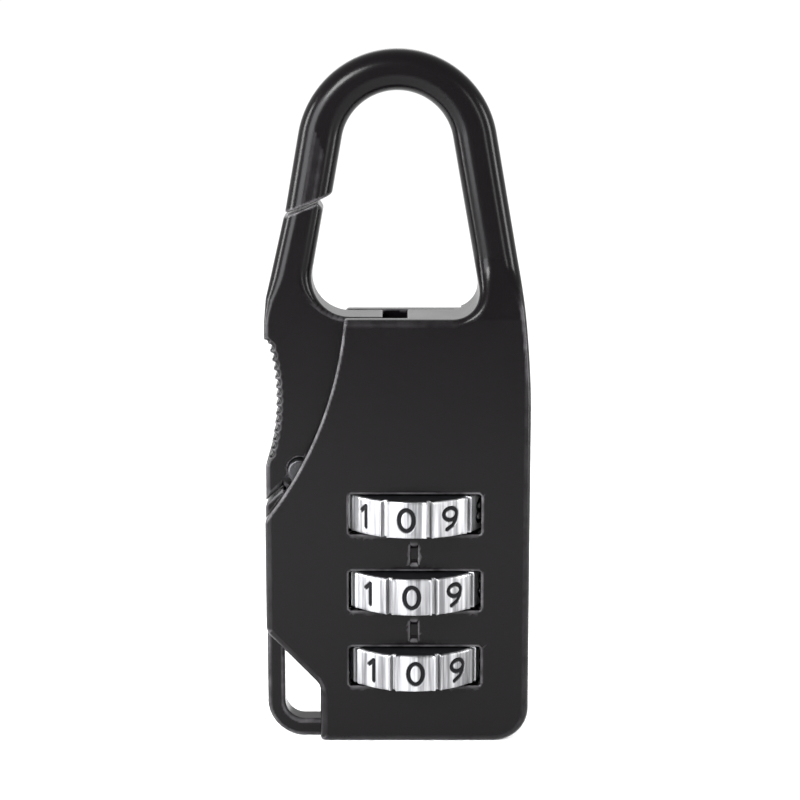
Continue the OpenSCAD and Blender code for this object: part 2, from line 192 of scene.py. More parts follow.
# Screws, reset slider and detent leaves
SCREWS = [(8.8, 36.8), (-9.4, 17.4), (-4.4, 2.9), (9.9, 3.2)]
SCREW_R = 0.75
SCREW_PILOT_R = 0.72
SCREW_HEAD_R = 1.45
SCREW_GAP = 0.1
SCREW_TIP_Y = -1.4
SCREW_PILOT_TIP_Y = -1.8
SINK_Y = 3.6
RECESS_Y = 3.9
THREAD_PITCH = 0.4
THREAD_DEPTH = 0.05
RECESS = 0.9
FORK_R = 2.55
FORK_H = 0.82
FORK_HALF_W = 2.4
STEM_HALF_W = 1.6
STEM_Y = (2, 2.67)
TAB_HALF_W = 1.2
TAB_FOOT_Z = 27.5
TAB_WINDOW_HALF = (1.35, 1.35)
TAB_GROOVES = 3
TAB_GROOVE_Z = 27.8
TAB_GROOVE_PITCH = 0.25
TAB_GROOVE_R = 0.09
TAB_GROOVE_HALF_W = 0.95
LEAF_T = 0.25
LEAF_FINGER_HALF_T = 0.18

# Springs: steps to a turn, and the turn at each end that lies flat
COIL_STEPS = 36
DEAD_TURN = 0.7


# ---------------------------------------------------------------- signed-distance helpers
def both(a, b, r=0.0):
    """Intersection, its edge rounded to radius r."""
    if not np.any(r):
        return np.maximum(a, b)
    return np.minimum(np.maximum(a, b), -r) + np.hypot(np.maximum(a + r, 0), np.maximum(b + r, 0))


def either(a, b, r=0.0):
    """Union, its inner corner filleted to radius r."""
    return -both(-a, -b, r)


def without(a, b, r=0.0):
    """a with b cut away, the new edge rounded to radius r."""
    return both(a, -b, r)


def smooth(t):
    t = np.clip(t, 0, 1)
    return t * t * (3 - 2 * t)


def span(v, lo, hi):
    return np.maximum(lo - v, v - hi)


def block(x, y, z, xs, ys, zs, r=0.0):
    """A box between the given pairs, with rounded edges."""
    dx, dy, dz = span(x, *xs) + r, span(y, *ys) + r, span(z, *zs) + r
    outside = np.sqrt(np.maximum(dx, 0) ** 2 + np.maximum(dy, 0) ** 2 + np.maximum(dz, 0) ** 2)
    return outside + np.minimum(np.maximum(np.maximum(dx, dy), dz), 0) - r


def rectangle(x, z, centre, half, r):
    dx, dz = np.abs(x - centre[0]) - half[0] + r, np.abs(z - centre[1]) - half[1] + r
    return np.hypot(np.maximum(dx, 0), np.maximum(dz, 0)) + np.minimum(np.maximum(dx, dz), 0) - r


def around_axis(x, y):
    """Distance from the dials' axis, and X measured from it."""
    return np.hypot(x - DIAL_X, y), x - DIAL_X


def on_axis(half_w):
    """X limits of something centred on the dials' axis."""
    return DIAL_X - half_w, DIAL_X + half_w


def disc(x, z, centre, r):
    return np.hypot(x - centre[0], z - centre[1]) - r


def outline(x, z, points):
    """Distance to a closed outline drawn through the points."""
    nearest = np.full(np.broadcast(x, z).shape, 1e9)
    sign = np.ones_like(nearest)
    for (ax, az), (bx, bz) in zip(points, points[-1:] + points[:-1]):
        ex, ez = bx - ax, bz - az
        wx, wz = x - ax, z - az
        t = np.clip((wx * ex + wz * ez) / (ex * ex + ez * ez), 0, 1)
        nearest = np.minimum(nearest, (wx - ex * t) ** 2 + (wz - ez * t) ** 2)
        above, below, left = z >= az, z < bz, ex * wz > ez * wx
        sign = np.where((above & below & left) | ~(above | below | left), -sign, sign)
    return sign * np.sqrt(nearest)


def bow(x, z, centre_z, r):
    """Round top whose sides run straight down from it, leaning outwards."""
    side, up = np.abs(x), z - centre_z
    line = side * math.cos(LEAN) + up * math.sin(LEAN) - r
    return np.where(side * math.sin(LEAN) < up * math.cos(LEAN), np.hypot(side, up) - r, line)


def arc(centre, r, start, end, steps):
    return [
        (centre[0] + r * math.cos(math.radians(a)), centre[1] + r * math.sin(math.radians(a)))
        for a in np.linspace(start, end, steps + 1)
    ]


# ---------------------------------------------------------------- meshing
def levels(lo, hi, step, fine=(), fine_step=0, reach=0):
    """Grid lines from lo to hi, closer together near each place in fine."""
    found = [lo]
    while found[-1] < hi:
        near = any(abs(found[-1] - f) < reach for f in fine)
        found.append(found[-1] + (fine_step if near else step))
    return np.array(found)


def surface(field, xs, ys, zs):
    """Vertices and quads of the field's zero surface, by surface nets on a grid."""
    value = field(xs[:, None, None], ys[None, :, None], zs[None, None, :])
    value = np.broadcast_to(value, (len(xs), len(ys), len(zs)))
    inside = value < 0
    count = sum(
        inside[a : len(xs) - 1 + a, b : len(ys) - 1 + b, c : len(zs) - 1 + c].astype(np.int8)
        for a in (0, 1) for b in (0, 1) for c in (0, 1)
    )
    cells = np.argwhere((count > 0) & (count < 8))
    number = np.full(count.shape, -1, np.int64)
    number[tuple(cells.T)] = np.arange(len(cells))
    corners = [(a, b, c) for a in (0, 1) for b in (0, 1) for c in (0, 1)]
    total, hits = np.zeros((len(cells), 3)), np.zeros(len(cells))
    for p in corners:
        for axis in range(3):
            if p[axis]:
                continue
            q = tuple(1 if k == axis else p[k] for k in range(3))
            at_p, at_q = cells + p, cells + q
            vp, vq = value[tuple(at_p.T)], value[tuple(at_q.T)]
            crosses = (vp < 0) != (vq < 0)
            t = np.where(crosses, vp / np.where(vp == vq, 1, vp - vq), 0)[:, None]
            place_p = np.stack([xs[at_p[:, 0]], ys[at_p[:, 1]], zs[at_p[:, 2]]], 1)
            place_q = np.stack([xs[at_q[:, 0]], ys[at_q[:, 1]], zs[at_q[:, 2]]], 1)
            total += np.where(crosses[:, None], place_p + t * (place_q - place_p), 0)
            hits += crosses
    points = total / hits[:, None]
    quads = []
    for axis in range(3):
        u, w = (axis + 1) % 3, (axis + 2) % 3
        ahead = np.moveaxis(inside, axis, 0)
        at = np.argwhere(ahead[:-1] != ahead[1:])
        outward = ahead[tuple(at.T)]
        others = [k for k in range(3) if k != axis]
        full = np.zeros_like(at)
        full[:, axis] = at[:, 0]
        full[:, others[0]] = at[:, 1]
        full[:, others[1]] = at[:, 2]
        ring = []
        for du, dw in ((-1, -1), (0, -1), (0, 0), (-1, 0)):
            cell = full.copy()
            cell[:, u] += du
            cell[:, w] += dw
            ring.append(number[tuple(cell.T)])
        quad = np.stack(ring, 1)
        quads.append(np.where(outward[:, None], quad, quad[:, ::-1]))
    return points, np.concatenate(quads)


def slope_at(field, p):
    """Value and gradient of the field at the points."""
    gradient = np.empty_like(p)
    for k in range(3):
        step = np.zeros(3)
        step[k] = PROBE
        gradient[:, k] = (field(*(p + step).T) - field(*(p - step).T)) / (2 * PROBE)
    return field(*p.T), gradient


def settle(field, p, most):
    """Moves the points onto the field's zero surface; returns them with their normals."""
    for _ in range(NEWTON_STEPS):
        value, gradient = slope_at(field, p)
        size = np.maximum((gradient**2).sum(1), 0.2)
        move = -gradient * (value / size)[:, None]
        length = np.linalg.norm(move, axis=1)[:, None]
        p = p + move * np.minimum(1, most / np.maximum(length, 1e-9))
    gradient = slope_at(field, p)[1]
    return p, gradient / np.maximum(np.linalg.norm(gradient, axis=1), 1e-9)[:, None]


def edge_rub_and_sheen(field, p):
    """How strongly the surface bends outwards at each point, for worn edges and their painted edge
    highlight.
    """
    bend = -6 * field(*p.T)
    for k in range(3):
        step = np.zeros(3)
        step[k] = EDGE_BEND_PROBE
        bend = bend + field(*(p + step).T) + field(*(p - step).T)
    return smooth((bend / EDGE_BEND_PROBE**2 - 0.8) / 3.0)


def new_object(name, points, faces):
    """A smooth-shaded mesh object from points in millimetres."""
    mesh = bpy.data.meshes.new(name)
    mesh.vertices.add(len(points))
    mesh.vertices.foreach_set("co", (np.asarray(points, float) * MM).ravel())
    faces = np.asarray(faces)
    mesh.loops.add(faces.size)
    mesh.loops.foreach_set("vertex_index", faces.ravel())
    mesh.polygons.add(len(faces))
    mesh.polygons.foreach_set("loop_start", np.arange(0, faces.size, faces.shape[1]))
    mesh.update(calc_edges=True)
    mesh.validate()
    mesh.polygons.foreach_set("use_smooth", np.ones(len(mesh.polygons), bool))
    made = bpy.data.objects.new(name, mesh)
    bpy.context.scene.collection.objects.link(made)
    return made


def solid(name, field, grid, keep=0.35, steps=0.1):
    """A meshed, thinned-out and smooth-shaded object for the field."""
    points, quads = surface(field, *grid)
    points = settle(field, points, steps)[0]
    made = new_object(name, points, quads)
    if keep < 1:
        thin = made.modifiers.new("thin", "DECIMATE")
        thin.ratio = keep
        thin.use_collapse_triangulate = True
        graph = bpy.context.evaluated_depsgraph_get()
        mesh = bpy.data.meshes.new_from_object(made.evaluated_get(graph))
        made.modifiers.clear()
        made.data = mesh
    mesh = made.data
    co = np.empty(len(mesh.vertices) * 3)
    mesh.vertices.foreach_get("co", co)
    points, normals = settle(field, co.reshape(-1, 3) / MM, steps / 2)
    mesh.vertices.foreach_set("co", (points * MM).ravel())
    # Edge bend, for rubbed paint and a painted edge highlight in the black paint.
    rub_and_sheen = mesh.attributes.new("rub_and_sheen", "FLOAT", "POINT")
    rub_and_sheen.data.foreach_set("value", edge_rub_and_sheen(field, points).astype(np.float32))
    mesh.polygons.foreach_set("use_smooth", np.ones(len(mesh.polygons), bool))
    kept = mesh.attributes.new("clean_normal", "FLOAT_VECTOR", "POINT")
    kept.data.foreach_set("vector", normals.astype(np.float32).ravel())
    mesh.update()
    mesh.normals_split_custom_set_from_vertices(normals.tolist())
    return made


# ---------------------------------------------------------------- case
def case_outline(x, z):
    """The case and the hook's outside, in front view."""
    body = both(bow(x, z, BEND_Z, BEND_R), np.abs(x) - HALF_W, SHOULDER_R)
    body = both(body, -z, CORNER_R)
    under = -((x - NOTCH[0]) * NOTCH_SLOPE + (z - NOTCH[1])) / NOTCH_SLANT
    return both(body, either(NOTCH[0] - x, under, 0.3), 0.35)


def hook_opening(x, z):
    return both(bow(x, z, INNER_Z, INNER_R), CASE_H - z, OPENING_CORNER_R)


def half_thickness(z):
    """Half the body's thickness: the leg widens to the case's at its foot."""
    return HOOK_HALF_T + (HALF_T - HOOK_HALF_T) * smooth((CASE_H + BLEND_H - z) / BLEND_H)


def break_line(x):
    """Height of the slanted joint between the lever's tip and the hook's nose."""
    return BREAK[1] + (x - BREAK[0]) * BREAK_SLOPE


def lever_space(x, z):
    """The room behind the front wall that the lever swings in."""
    left = SPACE_FOOT[-1][0]
    points = [(left, break_line(left)), (SLOT_X, break_line(SLOT_X))]
    ends = [math.degrees(math.acos((edge - PIVOT[0]) / SWEEP_R)) for edge in (SLOT_X, SPACE_X)]
    points += arc(PIVOT, SWEEP_R, *ends, 8)
    points += [(SPACE_X, SPACE_FOOT[0][1])] + SPACE_FOOT
    return np.minimum(outline(x, z, points), disc(x, z, PIVOT, BOSS_R + BOSS_GAP))


def thumb_side(x, z):
    """The side of the front wall's curved edge on which the thumb works the lever."""
    return disc(x, z, EDGE_CENTRE, EDGE_R)


def lanyard_eye(x, y, z):
    """The bar round the lower left corner, joined to the case in the notch."""
    ring = both(-HALF_W - x, -z, EYE_CORNER_R)
    hole = both(-HALF_W + EYE_BAR - x, EYE_BAR - z, EYE_CORNER_R - EYE_BAR)
    ring = without(ring, hole)
    ring = both(ring, x - NOTCH[0] - EYE_ROOT)
    ring = both(ring, ((x - NOTCH[0]) * NOTCH_SLOPE + (z - NOTCH[1])) / NOTCH_SLANT - EYE_ROOT)
    return both(ring, span(y, -COVER_Y, EYE_T - COVER_Y), 0.4)


def dial_webs():
    """Heights midway between neighbouring dials."""
    return [(DIAL_Z[i] + DIAL_Z[i + 1]) / 2 for i in (0, 1)]


def index_mark(x, y, z, zc):
    """A groove in the front wall that runs out towards both ends."""
    mark = rectangle(x, z, (MARK_X, zc - MARK_DROP), MARK_HALF, 0.05)
    depth = 0.4 * (1 - smooth((np.abs(z - zc + MARK_DROP) - 0.5) / 0.75)) - 0.15
    return both(mark, y + HALF_T - depth)


def hollow_for_works(body, x, y, z):
    """The body cut for the sleeves, slider and spindle, with the spindle's lower bearing."""
    reach, across = around_axis(x, y)
    open_behind = np.minimum(reach, np.maximum(np.abs(across), -y))
    through = (PARTITION_Z[0] - 0.1, PARTITION_Z[1] + 0.1)
    stem_way = block(x, y, z, on_axis(STEM_HALF_W + 0.15), (STEM_Y[0] - 0.1, FAR), through)
    head_way = block(x, y, z, on_axis(HEAD_HALF[0] + 0.15), (-COVER_Y, FAR), HEAD_WAY_Z)
    body = without(body, both(open_behind - CHANNEL_R, span(z, SPRING_FLOOR_Z, PARTITION_Z[0])))
    body = without(body, both(open_behind - LIP_BORE_R, span(z, *through)))
    body = without(without(body, stem_way), head_way)
    body = without(body, both(reach - BEARING_BORE_R, span(z, *BEARING_BORE_Z)))
    bearing = without(both(reach - BEARING_R, span(z, *BEARING_Z)), reach - BEARING_BORE_R)
    return np.minimum(body, bearing)


def case_field(x, y, z):
    """The casting: front wall, side walls, hook and lanyard eye, open behind."""
    shape = without(case_outline(x, z), hook_opening(x, z))
    t = half_thickness(z)
    edge = CASE_ROUND + (HOOK_ROUND - CASE_ROUND) * smooth((z - CASE_H - 0.5) / BLEND_H)
    body = both(both(shape, -y - t, edge), y - t, edge)
    body = without(body, both(z - CASE_H - 0.05, COVER_Y - y), 0.08)
    body = without(body, both(thumb_side(x, z), y + COVER_Y), 0.25)
    body = without(body, both(lever_space(x, z), -COVER_Y - y), 0.22)
    for zc in DIAL_Z:
        window = rectangle(x, z, (WINDOW_X, zc), WINDOW_HALF, 0.3)
        body = without(body, both(window, y - POCKET_Y - 0.1), 0.16)
        pocket_z = (zc - WINDOW_HALF[1], zc + WINDOW_HALF[1])
        body = without(body, block(x, y, z, on_axis(POCKET_HALF_W), (POCKET_Y, FAR), pocket_z))
        slot_x = (DIAL_X + POCKET_HALF_W - 0.1, DETENT_SLOT_X)
        slot_z = (zc - DETENT_SLOT_HALF[1], zc + DETENT_SLOT_HALF[1])
        body = without(body, block(x, y, z, slot_x, (-DETENT_SLOT_HALF[0], FAR), slot_z))
    for zc in dial_webs():
        body = without(body, index_mark(x, y, z, zc), 0.12)
    body = hollow_for_works(body, x, y, z)
    body = without(body, both(disc(x, z, PIVOT, PIN_R + PIN_GAP), np.abs(y) - PIN_HOLE_Y))
    for place in SCREWS:
        body = without(body, both(disc(x, z, place, SCREW_PILOT_R), SCREW_PILOT_TIP_Y - y))
    return np.minimum(body, lanyard_eye(x, y, z))


def cover_field(x, y, z):
    """The back plate, its windows and screw sinks, and the saddles that hold the sleeves."""
    shape = both(case_outline(x, z), z - CASE_H, 0.5)
    shape = without(shape, thumb_side(x, z), 0.3)
    cover = both(both(shape, y - HALF_T, CASE_ROUND), COVER_Y + COVER_GAP - y, 0.1)
    for zc in DIAL_Z:
        window = rectangle(x, z, (WINDOW_X, zc), (BACK_WINDOW_HALF_W, WINDOW_HALF[1]), 0.3)
        cover = without(cover, window, 0.2)
    tab_window = rectangle(x, z, (DIAL_X, TAB_FOOT_Z - 0.1), TAB_WINDOW_HALF, 0.2)
    cover = without(cover, tab_window, 0.15)
    for place in SCREWS:
        sink = SCREW_R + SCREW_GAP + 0.75 * np.clip((y - SINK_Y) / 0.8, 0, 1)
        cover = without(cover, (disc(x, z, place, 0) - sink) * 0.75, 0.06)
    cover = without(cover, both(disc(x, z, PIVOT, PIN_R + PIN_GAP), y - PIN_HOLE_Y))
    half_x, half_z = SADDLE_HALF
    for zc in dial_webs():
        saddle_y = (SADDLE_FRONT_Y, COVER_Y + 0.2)
        saddle = block(x, y, z, on_axis(half_x), saddle_y, (zc - half_z, zc + half_z), 0.1)
        cover = np.minimum(cover, without(saddle, around_axis(x, y)[0] - CHANNEL_R))
    return cover


# ---------------------------------------------------------------- gate lever
def lever_outline(x, z):
    points = [(-9.87, 54), (-6.5, 54)]
    points += arc((-4.51, CASE_H + ARM_CORNER_R), ARM_CORNER_R, 169.3, 270, 12)
    points += [(LEVER_END[0], CASE_H), LEVER_END]
    points += [(LEVER_BACK_X, FINGER_Z[1]), (LEVER_BACK_X, FINGER_Z[0]), (-4.2, FINGER_Z[0])]
    points += [(PIVOT[0] + BOSS_R, PIVOT[1]), PIVOT] + LEVER_OUTSIDE
    shape = np.minimum(outline(x, z, points), disc(x, z, PIVOT, BOSS_R))
    rest = both(disc(x, z, THUMB_CENTRE, THUMB_R), span(z, *THUMB_Z), 0.1)
    shape = without(shape, rest, 0.12)
    for k in range(SERRATIONS):
        turn = math.radians((k - SERRATIONS // 2) * math.degrees(SERRATION_PITCH / THUMB_R) - 0.5)
        along, up = THUMB_R * math.cos(turn), THUMB_R * math.sin(turn)
        tooth = (THUMB_CENTRE[0] + along, THUMB_CENTRE[1] + up)
        shape = without(shape, disc(x, z, tooth, SERRATION_R), 0.06)
    return shape


def lever_field(x, y, z):
    shape = lever_outline(x, z)
    edge = LEVER_ROUND + ARM_EXTRA_ROUND * smooth((z - 40.5) / 5)
    lever = both(shape, np.abs(y) - LEVER_HALF_T, edge)
    lever = both(lever, (z - break_line(x)) / BREAK_SLANT + BREAK_GAP, 0.15)
    tip = (x - ARM_TIP[0]) * ARM_TIP_NORMAL[0] + (z - ARM_TIP[1]) * ARM_TIP_NORMAL[1]
    lever = both(lever, tip, 0.15)
    lever = without(lever, disc(x, z, PIVOT, PIN_R + LEVER_BORE_GAP), 0.1)
    finger = block(x, y, z, (-4, DIAL_X + 1), (-FINGER_HALF_T, FINGER_HALF_T), FINGER_Z, 0.25)
    return np.minimum(lever, finger)


# ---------------------------------------------------------------- works inside the case
def pin_field(x, y, z):
    return both(disc(x, z, PIVOT, PIN_R), np.abs(y) - pin_hi[1], 0.22)


def screw_field(x, y, z):
    """One countersunk screw along Y, with a rolled thread and a cross recess."""
    reach = np.hypot(x, z)
    turn = np.arctan2(z, x) + 2 * math.pi * y / THREAD_PITCH
    thread = THREAD_DEPTH * np.where(y < 3.0, 1 + np.sin(turn), 0)
    shank = both(reach - SCREW_R + thread, span(y, SCREW_TIP_Y, 4.0), 0.1)
    head = both((reach - SCREW_R - (y - 3.65)) * 0.707, y - screw_hi[1], 0.05)
    head = both(both(head, reach - SCREW_HEAD_R, 0.04), 3.5 - y)
    narrow = 0.13 + 0.06 * (y - RECESS_Y)
    cross = np.minimum(
        np.maximum(np.abs(x) - RECESS, np.abs(z) - narrow),
        np.maximum(np.abs(z) - RECESS, np.abs(x) - narrow))
    return np.minimum(shank, without(head, both(cross, RECESS_Y - y), 0.05))


def spindle_field(x, y, z):
    """The toothed rod under the lever's finger, with its guide head."""
    reach, across = around_axis(x, y)
    rod = both(reach - SHAFT_R, span(z, SHAFT_FOOT_Z, HEAD_Z[1]), 0.2)
    half_x, half_y = HEAD_HALF
    head = block(across, y, z, (-half_x, half_x), (-half_y, half_y), HEAD_Z, 0.12)
    dome = np.sqrt(reach**2 + (z - DOME_Z) ** 2) - DOME_R
    spindle = np.minimum(np.minimum(rod, head), both(dome, HEAD_Z[1] - 0.2 - z))
    for zc in DIAL_Z:
        tooth_z = (zc + TOOTH_Z[0], zc + TOOTH_Z[1])
        tooth = block(across, y, z, (-TOOTH_HALF_W, TOOTH_HALF_W), (-TOOTH_R, 0), tooth_z, 0.08)
        spindle = np.minimum(spindle, tooth)
    return spindle


def sleeve_field(z_mid, rise):
    """A code sleeve: ten splines outside, and inside it a lip with one slot."""
    def field(x, y, z):
        reach, across = around_axis(x, y)
        up = z - z_mid
        sleeve = both(reach - SLEEVE_R, span(up, -SLEEVE_HALF, rise), 0.08)
        sleeve = without(sleeve, both(reach - SLEEVE_BORE_R, LIP_HALF - up), 0.06)
        sleeve = without(sleeve, both(reach - SLEEVE_BORE_R, up + LIP_HALF), 0.06)
        sleeve = without(sleeve, reach - LIP_BORE_R, 0.06)
        slot = block(across, y, up, (-LIP_SLOT_HALF_W, LIP_SLOT_HALF_W), (-SLEEVE_BORE_R, 0), (-1, 1))
        sleeve = without(sleeve, slot)
        step = 2 * math.pi / FIGURES
        turn = np.arctan2(y, across)
        turn = turn - np.round(turn / step) * step
        turned = reach * np.cos(turn), reach * np.sin(turn)
        spline = block(*turned, up, SPLINE_X, (-SPLINE_HALF_W, SPLINE_HALF_W), SPLINE_Z, 0.06)
        return np.minimum(sleeve, spline)
    return field


def slider_field(x, y, z):
    """The reset fork round the sleeves' top, its stem, and the grooved tab behind."""
    reach, across = around_axis(x, y)
    z_lo, z_hi = slider_lo[2], slider_lo[2] + FORK_H
    fork = np.minimum(
        both(reach - FORK_R, span(z, z_lo, z_hi), 0.08),
        block(across, y, z, (-FORK_HALF_W, FORK_HALF_W), (0, STEM_Y[1]), (z_lo, z_hi), 0.08))
    fork = without(fork, reach - LIP_BORE_R, 0.05)
    gap = block(across, y, z, (-LIP_BORE_R, LIP_BORE_R), (-4, 0), (z_lo - 1, z_hi + 1))
    fork = without(fork, gap, 0.05)
    stem = block(across, y, z, (-STEM_HALF_W, STEM_HALF_W), STEM_Y, (z_lo, slider_hi[2]), 0.1)
    tab_y, tab_z = (STEM_Y[0], slider_hi[1]), (TAB_FOOT_Z, slider_hi[2])
    tab = block(across, y, z, (-TAB_HALF_W, TAB_HALF_W), tab_y, tab_z, 0.15)
    for k in range(TAB_GROOVES):
        behind, up = y - slider_hi[1] - 0.02, z - TAB_GROOVE_Z - TAB_GROOVE_PITCH * k
        groove = np.hypot(behind, up) - TAB_GROOVE_R
        tab = without(tab, both(groove, np.abs(across) - TAB_GROOVE_HALF_W), 0.02)
    return np.minimum(np.minimum(fork, stem), tab)


def washer_field(node, bore_r):
    lo, hi = extent(node)

    def field(x, y, z):
        reach = around_axis(x, y)[0]
        ring = both(reach - (hi[0] - lo[0]) / 2, span(z, lo[2], hi[2]), 0.05)
        return without(ring, reach - bore_r, 0.05)
    return field


def detent_field(node):
    """A leaf that stands against the case's right wall, with its bent finger."""
    lo, hi = extent(node)
    zc = (lo[2] + hi[2]) / 2

    def field(x, y, z):
        leaf = block(x, y, z, (hi[0] - LEAF_T, hi[0]), (lo[1], hi[1]), (lo[2], hi[2]), 0.08)
        root_x, bend_x = hi[0] - 0.12, DIAL_X + DIAL_R + 0.9
        finger = outline(x, z, [
            (root_x, zc + 2), (bend_x, zc + 0.6), (lo[0], zc + 0.2), (lo[0], zc - 0.2),
            (bend_x, zc - 0.35), (root_x, zc + 1.5)])
        return np.minimum(leaf, both(finger, np.abs(y) - LEAF_FINGER_HALF_T, 0.05))
    return field


def coil_spring(name, node, wire_r, turns):
    """A compression spring with closed ends, drawn as a tube along its helix."""
    lo, hi = extent(node)
    coil_r = (hi[0] - lo[0]) / 2 - wire_r - 0.01
    steps, sides = int(turns * COIL_STEPS), 10
    points = []
    for k in range(-2, steps + 3):
        t = min(max(k / steps, 0), 1)
        taper = {-2: 0.35, -1: 0.8, steps + 1: 0.8, steps + 2: 0.35}.get(k, 1)
        turn = 2 * math.pi * k / COIL_STEPS
        wound = t * turns
        dead = 2 * wire_r * (min(wound, DEAD_TURN) + max(wound - turns + DEAD_TURN, 0))
        free = (hi[2] - lo[2] - 2 * wire_r - 2.8 * wire_r) * smooth((wound - 0.5) / (turns - 1))
        z = lo[2] + wire_r + dead + free
        for side in range(sides):
            b = 2 * math.pi * side / sides
            r = coil_r + wire_r * taper * math.cos(b)
            up = z + wire_r * taper * math.sin(b)
            points.append((DIAL_X + r * math.cos(turn), r * math.sin(turn), up))
    rings = steps + 5
    faces = []
    for k in range(rings - 1):
        for side in range(sides):
            after = (side + 1) % sides
            here, ahead = k * sides, (k + 1) * sides
            faces.append((here + side, ahead + side, ahead + after, here + after))
    faces.append(tuple(range(sides)))
    faces.append(tuple(range(rings * sides - 1, (rings - 1) * sides - 1, -1)))
    mesh = bpy.data.meshes.new(name)
    mesh.from_pydata([Vector(p) * MM for p in points], [], faces)
    mesh.polygons.foreach_set("use_smooth", np.ones(len(mesh.polygons), bool))
    made = bpy.data.objects.new(name, mesh)
    bpy.context.scene.collection.objects.link(made)
    return made


def small_solid(name, field, node, step):
    """A solid meshed in the box of its CAD node."""
    lo, hi = extent(node)
    grid = [np.arange(lo[k] - 2 * step, hi[k] + 3 * step, step) for k in range(3)]
    return solid(name, field, grid, 0.3)


def copied(made, places):
    """The object's mesh repeated at each place, in millimetres, as one object."""
    mesh = made.data
    co = np.empty(len(mesh.vertices) * 3)
    mesh.vertices.foreach_get("co", co)
    co = co.reshape(-1, 3) / MM
    corners = np.empty(len(mesh.loops), np.int64)
    mesh.loops.foreach_get("vertex_index", corners)
    normals = np.empty(len(mesh.vertices) * 3)
    mesh.attributes["clean_normal"].data.foreach_get("vector", normals)
    name = made.name
    made.name = name + ".one"
    points = np.concatenate([co + np.array(place) for place in places])
    faces = np.concatenate([corners.reshape(-1, 3) + k * len(co) for k in range(len(places))])
    whole = new_object(name, points, faces)
    repeated = np.tile(normals.reshape(-1, 3), (len(places), 1))
    whole.data.normals_split_custom_set_from_vertices(repeated.tolist())
    bpy.data.objects.remove(made)
    return whole


# ---------------------------------------------------------------- dials
FIGURE_HALF_W = 1.0
FIGURE_STRETCH = (1.36, 1.1)
FIGURE_DEPTH = 0.14
STROKE_HALF_W = 0.16
INK_HALF_W = 0.19
FLAT_DROP = 0.14
CORNER_HALF_W = 0.66
GROOVE_DEPTH = 0.5
RIM = [(0.3, 0), (0.14, 0), (0.04, 0.05), (0, 0.14)]
SIDE_RING_R = 4.9
DIAL_BORE_R = SLEEVE_R + 0.08
DIAL_TURNS = {"top": -6.4, "middle": -2.1, "bottom": 1.0}


def digit_strokes():
    """The figures 0 to 9 as strokes, each about its own middle."""
    def ring(cx, cz, rx, rz, start=0, end=360, steps=20):
        return [
            (cx + rx * math.cos(math.radians(a)), cz + rz * math.sin(math.radians(a)))
            for a in np.linspace(start, end, steps + 1)
        ]
    top = 0.92
    figures = [
        [ring(0, 0, 0.52, top)],
        [[(-0.34, 0.5), (0.06, top), (0.06, -top)]],
        [ring(0, 0.42, 0.5, 0.5, 165, -35, 12) + [(-0.5, -top), (0.54, -top)]],
        [ring(-0.02, 0.46, 0.47, 0.46, 145, -90, 12) + ring(-0.02, -0.46, 0.53, 0.46, 90, -145, 12)],
        [[(0.24, -top), (0.24, top), (-0.56, -0.32), (0.58, -0.32)]],
        [[(0.46, top), (-0.38, top), (-0.46, 0.12)] + ring(-0.02, -0.34, 0.53, 0.58, 130, -145, 14)],
        [ring(0, -0.4, 0.52, 0.52), [(-0.52, -0.36), (-0.44, 0.18), (-0.2, 0.6), (0.26, top)]],
        [[(-0.52, top), (0.52, top), (-0.12, -top)]],
        [ring(0, 0.48, 0.42, 0.44), ring(0, -0.44, 0.51, 0.48)],
        [ring(0, 0.4, 0.52, 0.52), [(0.52, 0.36), (0.44, -0.18), (0.2, -0.6), (-0.26, -top)]],
    ]
    return [
        [[(u * FIGURE_STRETCH[0], v * FIGURE_STRETCH[1]) for u, v in line] for line in lines]
        for lines in figures
    ]


def stroke_distance(u, v, strokes):
    nearest = np.full(np.broadcast(u, v).shape, 1e9)
    for line in strokes:
        for (ax, ay), (bx, by) in zip(line[:-1], line[1:]):
            ex, ey = bx - ax, by - ay
            t = np.clip(((u - ax) * ex + (v - ay) * ey) / (ex * ex + ey * ey), 0, 1)
            nearest = np.minimum(nearest, np.hypot(u - ax - ex * t, v - ay - ey * t))
    return nearest


def dial_row(r, angles, z):
    """Points round the dials' axis at one height."""
    return np.stack([DIAL_X + r * np.cos(angles), r * np.sin(angles), np.full(len(angles), z)], 1)


